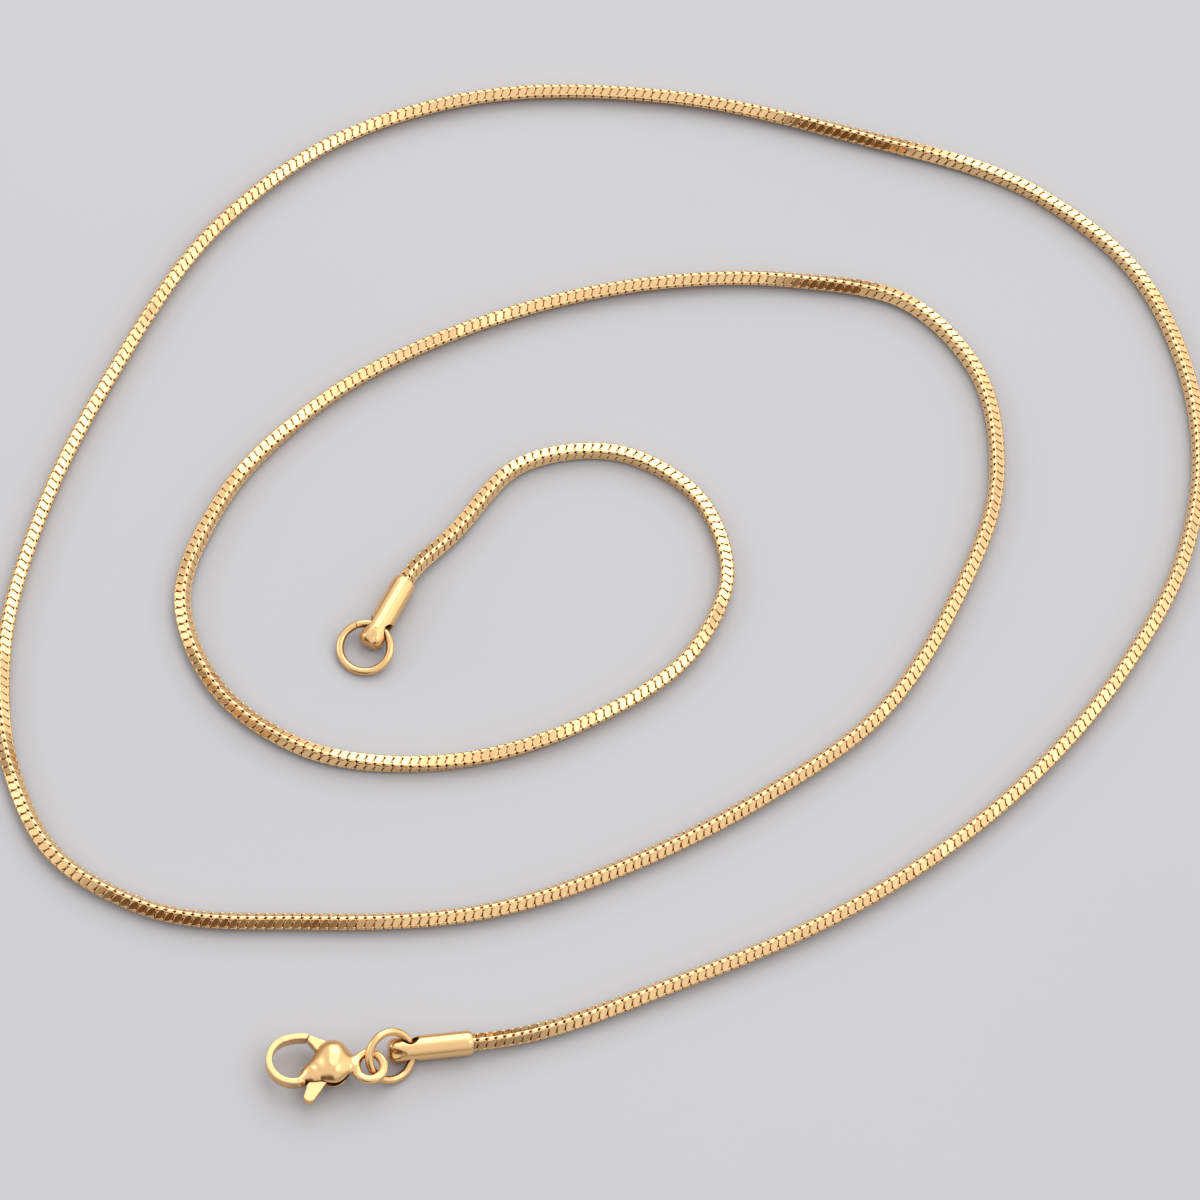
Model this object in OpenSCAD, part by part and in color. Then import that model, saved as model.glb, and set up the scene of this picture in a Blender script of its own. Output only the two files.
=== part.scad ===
// Snake chain necklace, laid open on a flat surface in a loose double spiral.
// A square snake chain, a tube cap on each end, a jump ring in each cap, and a lobster clasp.
// Millimetres, +Z up. The origin is the middle of the footprint, on the surface.

/* [Chain] */
// Width of the chain across its flats
chain_w = 1.25; // [1.1:0.05:1.4]
// Radius of the chain's rounded edges
chain_edge_r = 0.36; // [0.24:0.02:0.44]
// How far the chain goes into each cap
chain_in = 2; // [1:0.1:3]

/* [Caps] */
// Wall of each tube cap
cap_wall = 0.28; // [0.22:0.02:0.34]
// Gap all round between the chain and the inside of a cap
cap_gap = 0.05; // [0.03:0.01:0.08]
// Length of each cap
cap_len = 7.2; // [6:0.1:9]
// Room for a ring's wire in the hole across a cap
cap_hole_room = 0.9; // [0.85:0.05:1]
// From a cap's closed end to the middle of that hole
cap_hole_inset = 1.9; // [1.7:0.1:2.2]
// Rounding of a cap's mouth
cap_lip_r = 0.2; // [0.1:0.02:0.24]
// Rounding of a cap's closed end
cap_end_r = 0.6; // [0.4:0.05:0.8]
// Depth of the pinch that closes a cap's end, on each side
pinch_d = 0.4; // [0.2:0.05:0.5]

/* [Rings] */
// Wire diameter of the jump rings
wire_d = 0.7; // [0.6:0.02:0.76]
// Outside diameter of the ring at the chain's free end
end_ring_od = 5.1; // [4.8:0.1:5.6]
// Outside diameter of the ring that holds the clasp
clasp_ring_od = 4.8; // [4.6:0.1:5.2]
// How far the clasp's ring leans up from the surface
clasp_ring_lean = 39; // [37:1:40]

/* [Clasp] */
// Outside diameter of the hook's bow
hook_od = 4.5; // [4.3:0.1:4.8]
// Width of the hook's bar, seen from above
hook_bar_w = 0.55; // [0.45:0.05:0.65]
// Height of the hook's bar
hook_bar_h = 1.15; // [1.05:0.05:1.3]
// Bevel along the hook's edges
hook_bevel = 0.1; // [0.05:0.01:0.15]
// From the tail eye to the middle of the hook's bow
hook_reach = 6.45; // [6.3:0.05:6.7]
// Height of the domed body
shell_h = 2.9; // [2.7:0.1:3.2]
// Length of the dome, seen from above
dome_len = 3.1; // [3:0.1:3.4]
// Width of the dome, seen from above
dome_w = 4.3; // [4.1:0.1:4.5]
// How far the dome rolls over from the thumb's side
dome_roll = 18; // [0:1:20]
// Room for the ring's wire in the tail eye
eye_room = 0.95; // [0.9:0.05:1.05]
// Width of the tail eye's rim, seen from above
eye_rim_w = 0.6; // [0.5:0.05:0.65]
// Thickness of the tail eye's rim
eye_rim_t = 0.5; // [0.4:0.05:0.5]

/* [Clasp lever] */
// Thickness of the lever
lever_t = 0.9; // [0.8:0.05:1]
// Gap between the lever and the walls of its slot
slot_gap = 0.08; // [0.06:0.01:0.12]
// Gap between the gate and the tip of the hook
gate_gap = 0.06; // [0.04:0.01:0.1]
// Diameter of the pivot pin
pin_d = 0.5; // [0.4:0.05:0.6]
// Gap all round the pivot pin
pin_gap = 0.05; // [0.03:0.01:0.08]
// Width of the gate where it leaves the dome
gate_w = 1.1; // [1:0.05:1.2]
// Width of the gate at its tip
gate_tip_w = 0.5; // [0.4:0.05:0.6]
// Width of the thumb tab at its root
tab_root_w = 1.25; // [1.15:0.05:1.4]
// Width of the thumb tab at its end
tab_w = 1.05; // [0.95:0.05:1.15]

/* [Hidden] */
$fn = 48;
eps = 0.01;
gold = [0.86, 0.66, 0.36];

// The chain's route, chosen by hand: x, y and the lean of one of its four edges, in degrees.
// A lean of 0 has that edge straight up, and it grows to the left of the run.
// It starts at the mouth of the clasp's cap and ends at the mouth of the other cap.
route = [
  [-14.5, -45, -10], [4.5, -39, 5], [20.5, -31.5, 5], [34, -21.5, 10], [45, -9, 20],
  [51, 1.5, 25], [53.5, 11.5, 30], [53, 21.5, 25], [49.5, 31, 30], [41.5, 39, 25],
  [24.5, 45.5, 5], [7, 49.5, -20], [-11, 49, -20], [-23, 44.5, -20], [-33.5, 36, -20],
  [-43.5, 20.5, -35], [-50.5, 5, -40], [-53.5, -7, -30], [-53, -19, -10], [-49.5, -27, -5],
  [-42, -32, -5], [-28, -33.5, 0], [-12, -32.5, 10], [0.5, -28, 5], [12.5, -21.5, 5],
  [22.5, -14, 15], [30, -3, 20], [35, 10.5, 30], [34, 20.5, 30], [28.5, 27.5, 25],
  [18, 30, 0], [4.5, 29.5, -20], [-11.5, 25, -25], [-25.5, 17, -40], [-34.5, 7, -65],
  [-38, -3, -90], [-35, -11.5, -105], [-28, -17, -115], [-16.5, -18.5, -140], [-3, -14.5, -155],
  [7, -7, -155], [10, 0, -140], [8, 7.5, -135], [1.5, 12, -140], [-7.5, 11, -150],
  [-14, 4, -160], [-18.5, -1, -165]
];
// Headings of the two caps, from closed end to mouth
clasp_cap_heading = 6;
ring_cap_heading = 61;
// Rings of the tube that stands for the links, and the stretch in which it settles from a cap
tube_rings = 76;
settle_len = 6;

// Square section with cut edges, drawn round the rounded one
flat_r = chain_w / 2;
edge_r = (flat_r - chain_edge_r) * sqrt(2) + chain_edge_r;
cut_half = edge_r * sqrt(2) - flat_r;
corner_r = norm([flat_r, cut_half]);
corner_a = 45 - atan2(cut_half, flat_r);
section_angles = [for (k = [0:3]) each [90 * k - corner_a, 90 * k + corner_a]];

// Caps lie on the surface, and the chain's ends run along their axes
cap_bore_r = corner_r + cap_gap;
cap_r = cap_bore_r + cap_wall;
last = len(route) - 1;

// A smooth curve through the route's points, with its speed near one
function plan(p) = [p[0], p[1]];
function lap(i) = norm(plan(route[i + 1]) - plan(route[i]));
function slope(i) = (route[i + 1] - route[i]) / lap(i);
function aim(a) = [cos(a), sin(a), 0];
function speed(i) =
  i == 0 ? aim(clasp_cap_heading)
  : i == last ? -aim(ring_cap_heading)
  : (slope(i - 1) * lap(i) + slope(i) * lap(i - 1)) / (lap(i - 1) + lap(i));
function along(i, t) =
  route[i] * (1 + 2 * t) * pow(1 - t, 2)
  + route[i + 1] * (3 - 2 * t) * pow(t, 2)
  + lap(i) * (speed(i) * t * pow(1 - t, 2) - speed(i + 1) * pow(t, 2) * (1 - t));
function run(i, t) =
  6 * (route[i + 1] - route[i]) / lap(i) * t * (1 - t)
  + speed(i) * (1 - t) * (1 - 3 * t)
  + speed(i + 1) * t * (3 * t - 2);
function piece(u) = min(floor(u), last - 1);

// Height of the chain's middle: its lowest edge is on the surface, apart from near the caps
function rest_h(lean) = corner_r * max([for (a = section_angles) cos(a + lean)]);
function ease(t) = t <= 0 ? 0 : t >= 1 ? 1 : t * t * (3 - 2 * t);
function end_dist(p) = min(norm(plan(p) - plan(route[0])), norm(plan(p) - plan(route[last])));
function height(p) = cap_r + (rest_h(p[2]) - cap_r) * ease(end_dist(p) / settle_len);

// One ring of the tube: its middle, the heading of the run and the section's lean
function ring_at(middle, head, lean) = [
  for (a = section_angles) middle + corner_r * [-head[1] * sin(a + lean), head[0] * sin(a + lean), cos(a + lean)]
];
function run_ring(u) =
  let (i = piece(u), t = u - i, p = along(i, t), d = plan(run(i, t)))
  ring_at([p[0], p[1], height(p)], d / norm(d), p[2]);
function end_ring_at(p, heading, toward) =
  ring_at([p[0], p[1], cap_r] - chain_in * aim(heading), plan(aim(heading)) * toward, p[2]);

// Places of the caps' holes, from the route's two ends
cap_hole_d = wire_d + cap_hole_room;
function cap_point(p, heading, inset) = [p[0], p[1], cap_r] - (cap_len - inset) * aim(heading);
clasp_hole = cap_point(route[0], clasp_cap_heading, cap_hole_inset);
end_hole = cap_point(route[last], ring_cap_heading, cap_hole_inset);

// The wire of each ring lies a little off the middle of the hole it passes through
wire_play = 0.1;

// The end ring leans on the surface, and its wire passes a little above the cap's axis
end_ring_heading = 56;
end_ring_r = (end_ring_od - wire_d) / 2;
end_ring_rise = 0.15;
end_ring_tilt = asin((cap_r + end_ring_rise - wire_d / 2) / (2 * end_ring_r));

// The clasp's ring leans on the surface, from the cap's hole on one side to the tail eye on the other.
// It dips towards the cap, and both hang on it a few degrees below its middle line.
clasp_ring_r = (clasp_ring_od - wire_d) / 2;
clasp_ring_heading = 30;
clasp_ring_dip = 7;
cap_sag = 6;
eye_sag = 2;
function turned(v, a) = [v[0] * cos(a) - v[1] * sin(a), v[0] * sin(a) + v[1] * cos(a), v[2]];
ring_along = turned([cos(clasp_ring_dip), 0, -sin(clasp_ring_dip)], clasp_ring_heading);
ring_up = turned(
  [sin(clasp_ring_lean) * sin(clasp_ring_dip), cos(clasp_ring_lean), sin(clasp_ring_lean) * cos(clasp_ring_dip)],
  clasp_ring_heading
);
ring_h = wire_d / 2 + clasp_ring_r * norm([ring_along[2], ring_up[2]]);
to_cap = clasp_ring_r * (cos(cap_sag) * ring_along - sin(cap_sag) * ring_up);
to_eye = clasp_ring_r * (-cos(eye_sag) * ring_along - sin(eye_sag) * ring_up);
ring_spot = plan(clasp_hole + wire_play * aim(clasp_cap_heading) - to_cap);
clasp_ring_mid = [ring_spot[0], ring_spot[1], ring_h];

// Clasp, from the middle of its tail eye: hook to the left, thumb tab towards -Y
eye = plan(clasp_ring_mid + to_eye) + wire_play * [-1, 0.6];
eye_lift = ring_h + to_eye[2] - shell_h / 2;
eye_d = wire_d + eye_room;
eye_mid_r = (eye_d + eye_rim_w) / 2;
neck = [-0.98 * eye_mid_r, 0];

// The hook is a round bow, then a flatter arc out to its tip, which ends at the seam with the gate
hook_r = (hook_od - hook_bar_w) / 2;
bow = [-hook_reach, 0.65];
crown_a = 110;
root_a = 290;
tip_r = 2.1 * hook_r;
tip_sweep = 29;
seam_a = 60;
function polar(r, a) = [r * cos(a), r * sin(a)];
tip_mid = bow + polar(hook_r - tip_r, crown_a);
seam = tip_mid + polar(tip_r, crown_a - tip_sweep);
root = bow + polar(hook_r, root_a);

// Body and lever, placed on the dome and in shares of its size
dome = [-0.48 * hook_reach, 0.5];
waist = 0.4 * dome + 0.6 * root;
pivot = dome + [0.18 * dome_len, 0.14 * dome_w];
knee = dome + [-0.3 * dome_len, 0.33 * dome_w];
tab_root = dome + [-0.53 * dome_len, -0.56 * dome_w];
tab_end = dome + [-0.67 * dome_len, -0.79 * dome_w];
boss_w = 1.1;
function beside(p, q) = [q[1] - p[1], p[0] - q[0]] / norm(q - p);

module chain() {
  rings = concat(
    [end_ring_at(route[0], clasp_cap_heading, 1)],
    [for (k = [0:tube_rings - 1]) run_ring(k * last / (tube_rings - 1))],
    [end_ring_at(route[last], ring_cap_heading, -1)]
  );
  sides = len(section_angles);
  count = len(rings);
  walls = [
    for (k = [0:count - 2], j = [0:sides - 1])
      let (a = k * sides + j, b = k * sides + (j + 1) % sides)
      each [[a, b, b + sides], [a, b + sides, a + sides]]
  ];
  start = [for (j = [0:sides - 1]) sides - 1 - j];
  finish = [for (j = [0:sides - 1]) (count - 1) * sides + j];
  color(gold) polyhedron(points = [for (r = rings) each r], faces = concat([start], walls, [finish]));
}

// Outline of half a cap, turned about the Y axis of the drawing: mouth at 0, closed end above
module cap_profile() {
  difference() {
    union() {
      translate([0, cap_lip_r]) square([cap_r, cap_len - cap_end_r - cap_lip_r]);
      square([cap_r - cap_lip_r, cap_len]);
      translate([cap_r - cap_lip_r, cap_lip_r]) circle(cap_lip_r);
      intersection() {
        translate([cap_r - cap_end_r, cap_len - cap_end_r]) circle(cap_end_r);
        square([cap_r, cap_len]);
      }
    }
    translate([cap_r - cap_end_r, cap_len - cap_end_r]) difference() {
      square(cap_end_r + eps);
      circle(cap_end_r);
    }
    translate([0, -eps]) square([cap_bore_r, cap_len - cap_hole_inset + cap_hole_d / 2 + eps]);
  }
}

// Groove that pinches one side of the closed end: it deepens towards the end
module pinch() {
  groove_r = 0.45;
  groove_l = cap_hole_inset - cap_hole_d / 2;
  slant = atan2(pinch_d, groove_l);
  translate([cap_r + groove_r, 0, cap_len - groove_l]) rotate([0, -slant, 0]) cylinder(r = groove_r, h = 2 * groove_l);
}

// A cap with its mouth at the route's end p. lean turns the cross hole about the cap's axis
module cap(p, heading, lean) {
  translate([p[0], p[1], cap_r]) rotate([0, 0, heading]) rotate([lean, 0, 0]) rotate([0, -90, 0]) difference() {
    rotate_extrude() cap_profile();
    translate([0, 0, cap_len - cap_hole_inset]) rotate([90, 0, 0])
      cylinder(d = cap_hole_d, h = 2 * cap_r + 1, center = true);
    pinch();
    rotate([0, 0, 180]) pinch();
  }
}

module jump_ring(r) {
  rotate_extrude() translate([r, 0]) circle(d = wire_d);
}

module clasp_cap() {
  color(gold) cap(route[0], clasp_cap_heading, clasp_ring_lean);
}

module ring_cap() {
  color(gold) cap(route[last], ring_cap_heading, 0);
}

module clasp_ring() {
  color(gold) translate(clasp_ring_mid) rotate([0, clasp_ring_dip, clasp_ring_heading])
    rotate([clasp_ring_lean, 0, 0]) jump_ring(clasp_ring_r);
}

module end_ring() {
  color(gold) translate(end_hole + wire_play * aim(ring_cap_heading) + [0, 0, end_ring_rise])
    rotate([0, -end_ring_tilt, end_ring_heading]) translate([-end_ring_r, 0, 0]) jump_ring(end_ring_r);
}

// An arc of the hook's bar about a point, between two angles, with bevelled edges
module bar_arc(mid, r, from_a, to_a, slim = 0) {
  w = hook_bar_w / 2 - slim;
  h = hook_bar_h / 2 - slim;
  translate([mid[0], mid[1], 0]) rotate([0, 0, from_a]) rotate_extrude(angle = to_a - from_a)
    translate([r, 0]) polygon([
      [-w, -h + hook_bevel], [-w + hook_bevel, -h], [w - hook_bevel, -h], [w, -h + hook_bevel],
      [w, h - hook_bevel], [w - hook_bevel, h], [-w + hook_bevel, h], [-w, h - hook_bevel]
    ]);
}

// A block against the seam between the hook's tip and the gate: side 1 is the hook's, -1 the gate's
module seam_block(side) {
  size = 4 * hook_bar_h;
  translate([seam[0], seam[1], 0]) rotate([0, 0, seam_a])
    translate([0, side * (size - gate_gap) / 2, 0]) cube(size, center = true);
}

// The tip's arc is a hair slimmer than the bow and starts inside it, so that the two fuse
module hook() {
  difference() {
    union() {
      bar_arc(bow, hook_r, crown_a, root_a);
      bar_arc(tip_mid, tip_r, crown_a - tip_sweep - 8, crown_a + 3, eps);
    }
    intersection() {
      seam_block(-1);
      translate([seam[0], seam[1], 0]) cylinder(r = 2 * hook_bar_h, h = 2 * hook_bar_h, center = true);
    }
  }
}

module bulb(at, size, lift = 0, roll = 0) {
  translate([at[0], at[1], lift]) rotate([roll, 0, 0]) resize(size) sphere(r = 1, $fn = 32);
}

// The dome leans away from the thumb's side, and keeps the body's height
module dome_bulb() {
  upright_h = sqrt(pow(shell_h, 2) - pow(dome_w * sin(dome_roll), 2)) / cos(dome_roll);
  bulb(dome, [dome_len, dome_w, upright_h], 0, -dome_roll);
}

module waist_bulb() {
  bulb(waist, [1.5, 1.5, 0.75 * shell_h]);
}

// The lever's way through the body: open to the hook's inside, to the gate and to the tab's side
module slot() {
  far = 6;
  reach = boss_w / 2 + slot_gap;
  edge = reach * beside(pivot, knee);
  linear_extrude(lever_t + 2 * slot_gap, center = true) {
    polygon([
      [neck[0] - 0.35, -far], [neck[0] - 0.35, neck[1] - 0.35], pivot + [reach, 0], pivot + edge, knee + edge,
      [knee[0] + edge[0], far], [bow[0], far], bow, root + [0.45, 0.8], root + [0.35, -0.1], root + [0.2, -far]
    ]);
    translate(pivot) circle(reach);
  }
}

module tail_eye() {
  flat = eye_rim_w - eye_rim_t;
  translate([0, 0, eye_lift]) rotate_extrude() translate([eye_mid_r, 0]) {
    translate([-flat / 2, 0]) circle(d = eye_rim_t);
    translate([flat / 2, 0]) circle(d = eye_rim_t);
    square([flat, eye_rim_t], center = true);
  }
}

// The rolled dome's facets reach a hair lower than its true curve, hence the small lift
module clasp_place() {
  translate([eye[0], eye[1], shell_h / 2 + eps]) children();
}

module clasp_body() {
  color(gold) clasp_place() union() {
    hook();
    difference() {
      union() {
        hull() {
          dome_bulb();
          bulb(neck, [1, 1.2, 0.9], eye_lift / 2);
        }
        hull() {
          dome_bulb();
          waist_bulb();
        }
        hull() {
          waist_bulb();
          bulb(root, [0.9, 0.8, 1.5 * hook_bar_h]);
        }
      }
      slot();
      cylinder(d = eye_d, h = shell_h, center = true);
    }
    tail_eye();
    translate([pivot[0], pivot[1], 0]) cylinder(d = pin_d, h = lever_t + 4 * slot_gap, center = true);
  }
}

// A flat strip between two round ends of their own widths
module strip(p, q, p_w, q_w) {
  across = beside(p, q) / 2;
  linear_extrude(lever_t, center = true)
    polygon([p + across * p_w, q + across * q_w, q - across * q_w, p - across * p_w]);
  translate([p[0], p[1], 0]) cylinder(d = p_w, h = lever_t, center = true);
  translate([q[0], q[1], 0]) cylinder(d = q_w, h = lever_t, center = true);
}

module clasp_lever() {
  color(gold) clasp_place() difference() {
    union() {
      strip(seam, knee, gate_tip_w, gate_w);
      strip(knee, pivot, gate_w, boss_w);
      strip(pivot, tab_root, boss_w, tab_root_w);
      strip(tab_root, tab_end, tab_root_w, tab_w);
    }
    translate([pivot[0], pivot[1], 0]) cylinder(d = pin_d + 2 * pin_gap, h = 2 * lever_t, center = true);
    seam_block(1);
  }
}

chain();
clasp_cap();
ring_cap();
clasp_ring();
end_ring();
clasp_body();
clasp_lever();
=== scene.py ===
# Looks for the snake chain necklace: links, cast and polished gold parts, floor, light and camera.
# Metres, +Z up, in the same frame as the solids. Lengths named in millimetres are turned to metres by MM.

import math

import bpy
import numpy as np
from mathutils import Matrix, Vector

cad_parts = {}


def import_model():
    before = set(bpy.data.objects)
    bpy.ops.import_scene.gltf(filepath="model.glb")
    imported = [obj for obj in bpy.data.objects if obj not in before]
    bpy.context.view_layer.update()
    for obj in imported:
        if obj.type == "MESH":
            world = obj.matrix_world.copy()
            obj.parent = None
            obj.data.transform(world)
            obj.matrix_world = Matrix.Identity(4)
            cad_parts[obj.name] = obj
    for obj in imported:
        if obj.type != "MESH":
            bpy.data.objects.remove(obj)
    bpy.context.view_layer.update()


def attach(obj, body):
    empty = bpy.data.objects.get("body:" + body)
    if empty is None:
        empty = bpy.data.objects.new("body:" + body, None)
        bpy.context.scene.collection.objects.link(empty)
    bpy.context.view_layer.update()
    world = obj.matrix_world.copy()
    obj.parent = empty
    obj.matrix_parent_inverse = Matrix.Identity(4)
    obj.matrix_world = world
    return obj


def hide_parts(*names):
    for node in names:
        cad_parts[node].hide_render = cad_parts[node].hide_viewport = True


MM = 0.001
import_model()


def section_corner(width, edge_r):
    """Corner radius of a square tube whose edges are cut, and half the angle of each cut in degrees."""
    flat = width / 2
    edge = (flat - edge_r) * math.sqrt(2) + edge_r
    cut = edge * math.sqrt(2) - flat
    return math.hypot(flat, cut), 45 - math.degrees(math.atan2(cut, flat))


def on_arc(mid, r, degrees):
    """Point at an angle on a circle."""
    a = math.radians(degrees)
    return (mid[0] + r * math.cos(a), mid[1] + r * math.sin(a))


def beside(mid, size, along, across):
    """Point beside a middle, by shares of a length and a width."""
    return (mid[0] + along * size[0], mid[1] + across * size[1])


# Camera, solved from the even pitch of the links in the 1200 x 1200 frame
CAMERA_AT = (-62.550, -257.358, 485.791)
CAMERA_RIGHT = (0.9938284, -0.0524785, 0.0977299)
CAMERA_UP = (0.0010216, 0.8853100, 0.4650002)
FOCAL_PX = 6282.2
IMAGE_PX = 1200
SENSOR_W = 36.0
CLIP = (0.05, 10.0)

# Chain, in the part's own sizes. Route rows are x, y and the lean of one edge in degrees, which is finer here
# than in the source. IN is how far the links run on into a cap, a little less than the source's tube does,
# and SETTLE the way over which they come down from it.
CHAIN_W = 1.25
CHAIN_EDGE_R = 0.36
PITCH = 0.772
CHAIN_IN = 1.6
SETTLE_LEN = 6.0
CAP_GAP = 0.05
CAP_WALL = 0.28
CLASP_CAP_HEADING = 6
RING_CAP_HEADING = 61
ROUTE = [
    [-14.5, -45, -10], [4.5, -39, 13], [20.5, -31.5, 15], [34, -21.5, 17], [45, -9, 22],
    [51, 1.5, 25], [53.5, 11.5, 30], [53, 21.5, 25], [49.5, 31, 33], [41.5, 39, 42],
    [24.5, 45.5, 7], [7, 49.5, -20], [-11, 49, -20], [-23, 44.5, -20], [-33.5, 36, -14],
    [-43.5, 20.5, -35], [-50.5, 5, -40], [-53.5, -7, -30], [-53, -19, -2], [-49.5, -27, 4],
    [-42, -32, 2], [-28, -33.5, 0], [-12, -32.5, 10], [0.5, -28, 5], [12.5, -21.5, 5],
    [22.5, -14, 15], [30, -3, 20], [35, 10.5, 30], [34, 20.5, 30], [28.5, 27.5, 25],
    [18, 30, 0], [4.5, 29.5, -20], [-11.5, 25, -25], [-25.5, 17, -40], [-34.5, 7, -65],
    [-38, -3, -84], [-35, -11.5, -99], [-28, -17, -107], [-16.5, -18.5, -140], [-3, -14.5, -155],
    [7, -7, -155], [10, 0, -140], [8, 7.5, -135], [1.5, 12, -140], [-7.5, 11, -150],
    [-14, 4, -160], [-18.5, -1, -165],
]
CORNER_R, CORNER_A = section_corner(CHAIN_W, CHAIN_EDGE_R)
CAP_BORE_R = CORNER_R + CAP_GAP
CAP_R = CAP_BORE_R + CAP_WALL

# Link: an eight-sided ring that carries a slanting oval plate on each face and a smaller one on each corner.
# OUT is how far a plate lies from the chain's middle, FLAT half the width that stays flat, and BEND_R the
# radius on which the plate bends down beyond it.
SIDES = 8
FACE_OUT = 0.61
FACE_FLAT = 0.41
FACE_BEND_R = 0.12
CORNER_OUT = 0.75
CORNER_FLAT = 0
CORNER_BEND_R = 0.36
# Plates: half length along the chain, half width across it, slant, roundness and count of points
FACE_PLATE = (0.345, 0.5, 0.48, 2.2, 16)
CORNER_PLATE = (0.26, 0.3, 0.9, 2.1, 10)
# Layers of a plate: how far in from its outline along and across, depth, and tilt of its surface in degrees
FACE_LAYERS = ((0.065, 0.08, 0, 0), (0.03, 0.036, 0.014, 35), (0, 0, 0.07, 78), (0.02, 0.02, 0.3, 90))
CORNER_LAYERS = ((0.1, 0.16, 0, 3), (0.035, 0.04, 0.004, 14), (0, 0, 0.055, 75), (0.01, 0.01, 0.28, 90))
# The ring under the plates: place along the chain and depth; its narrow end sits inside the next link
RING_LAYERS = ((-0.5, 0.42), (-0.5, 0.35), (-0.2, 0.2), (0.3, 0.2), (0.3, 0.29))
# The links don't lie quite even: spread of their tilts in degrees, its share along X, Y and Z, and its seed
UNEVEN = 0.9
UNEVEN_SHARE = (1, 1, 0.7)
UNEVEN_SEED = 5
CHAIN_PIECES = 5

# Clasp, in the part's own sizes: places are measured from the middle of its tail eye
CLASP_AT = (-23.331, -47.4105, 1.45)
HOOK_REACH = 6.45
HOOK_R = 1.975
BAR_W = 0.55
BAR_H = 1.15
EYE_D = 1.65
EYE_LIFT = 0.41
NECK = (-1.2, 0.0)

# The hook is a round bow, then a flatter arc out to its tip, which ends at the seam with the gate
BOW = (-HOOK_REACH, 0.65)
CROWN_A = 110
ROOT_A = 290
TIP_R = 2.1 * HOOK_R
TIP_SWEEP = 29
TIP_MID = on_arc(BOW, HOOK_R - TIP_R, CROWN_A)
SEAM = on_arc(TIP_MID, TIP_R, CROWN_A - TIP_SWEEP)
SEAM_A = 60
GATE_GAP = 0.06
ROOT = on_arc(BOW, HOOK_R, ROOT_A)

# The lever's places lie in shares of the dome's length and width, and its slot leaves room for its swing
DOME = (-0.48 * HOOK_REACH, 0.5)
DOME_SIZE = (3.1, 4.3)
PIVOT = beside(DOME, DOME_SIZE, 0.18, 0.14)
KNEE = beside(DOME, DOME_SIZE, -0.3, 0.33)
TAB_ROOT = beside(DOME, DOME_SIZE, -0.53, -0.56)
TAB_END = (-5.12, -2.66)
PIN_D = 0.5
LEVER_T = 0.9
SLOT_H = 1.06
SLOT_REACH = 0.63
SLOT_OUTLINE = [
    (-1.45, -6), (-1.45, -0.35), (-1.91, 1.10), (-2.235, 1.655), (-3.725, 2.47), (-3.725, 6),
    (-6.45, 6), (-6.45, 0.65), (-5.325, -0.405), (-5.425, -1.305), (-5.575, -7.2),
]
SLOT_EDGE = 0.02

# Shell of the clasp: its dome, and balls of x, y, z and radius that tapering rods join to an end
DOME_RADII = (1.48, 2.1, 1.4)
DOME_ROLL = -14
FLANK_BALLS = ((-3.2, 0.9, 0, 1.42), (-3.1, -0.15, 0, 1.42))
FLANK_END = (-4.75, -0.55, 0, 0.95)
ROOT_BALLS = ((-4.75, -0.55, 0, 0.93), (*ROOT, 0, 0.42))
TAIL_BALLS = ((-2.85, 0.9, 0, 1.42), (-2.9, 0.1, 0, 1.36))
TAIL_END = (*NECK, EYE_LIFT / 2, 0.6)
ROD_FLATTEN = 0.86
SHELL_HALF_H = 1.44

# Hook: how far its two arcs run past the crown and its tip past the seam, in degrees, before the seam is cut
BAR_PAST = 6
TIP_PAST = 4
TIP_SPARE = 8
BAR_EDGE = 0.1
SEAM_REACH = 1.6

# Eye: an inner bead and an outer one that lies a little lower
EYE_IN_R = 0.25
EYE_OUT_R = 0.3
EYE_OUT_AT = 0.46
EYE_OUT_DROP = 0.03

# Lever: places and half widths from the gate's tip over the knee and the pivot to the end of the thumb tab
LEVER_PATH = ((*SEAM, 0.25), (*KNEE, 0.55), (*PIVOT, 0.55), (*TAB_ROOT, 0.61), (*TAB_END, 0.5))
LEVER_EDGE = 0.09
PIN_HALF_H = 0.6
PIN_CLEAR = 0.05

# Widths of the fillets where the clasp's forms meet or are cut
ROD_SOFT = 0.5
DOME_SOFT = 0.4
JOIN_SOFT = 0.3
EYE_SOFT = 0.25
LEVER_SOFT = 0.1
SLOT_SOFT = 0.08
BEAD_SOFT = 0.06
SEAM_SOFT = 0.05
BAR_SOFT = 0.03
PIN_SOFT = 0.02

# Caps and rings, in the part's own sizes. The rounding of a cap's mouth, its LIP, is longer here, and the
# seam of a ring, with the chamfers on its cut ends, is only here.
CAP_LEN = 7.2
CAP_END_R = 0.6
CAP_HOLE_D = 1.6
CAP_HOLE_INSET = 1.9
CAP_HOLE_AT = CAP_LEN - CAP_HOLE_INSET
LIP_LEN = 0.55
LIP_IN = 0.2
CLASP_CAP_LEAN = 39
WIRE_R = 0.35
WIRE_CHAMFER = 0.05
SEAM_GAP = 0.03
SEAM_SHARP_A = 40
CLASP_RING_R = 2.05
CLASP_RING_AT = (-21.493, -46.4029, 1.65463)
CLASP_RING_TURN = (39, 7, 30)
END_RING_R = 2.2
END_RING_AT = (-22.2265, -7.3351, 0.790)
END_RING_TURN = (0, -11.53, 56)
# Angle about a ring's axis at which its seam lies
CLASP_RING_SEAM = 5
END_RING_SEAM = 53

# Pinches of a cap: a tapering rod, by how far its middle lies outside the cap and its radius at start and end
DENT_LEN = 1.1
DENT_PAST = 0.3
DENT_START = (0.3, 0.25)
DENT_END = (0.12, 0.72)
DENT_SOFT = 0.3
HOLE_SOFT = 0.1
MOUTH_SOFT = 0.05
BORE_SOFT = 0.02

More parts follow.
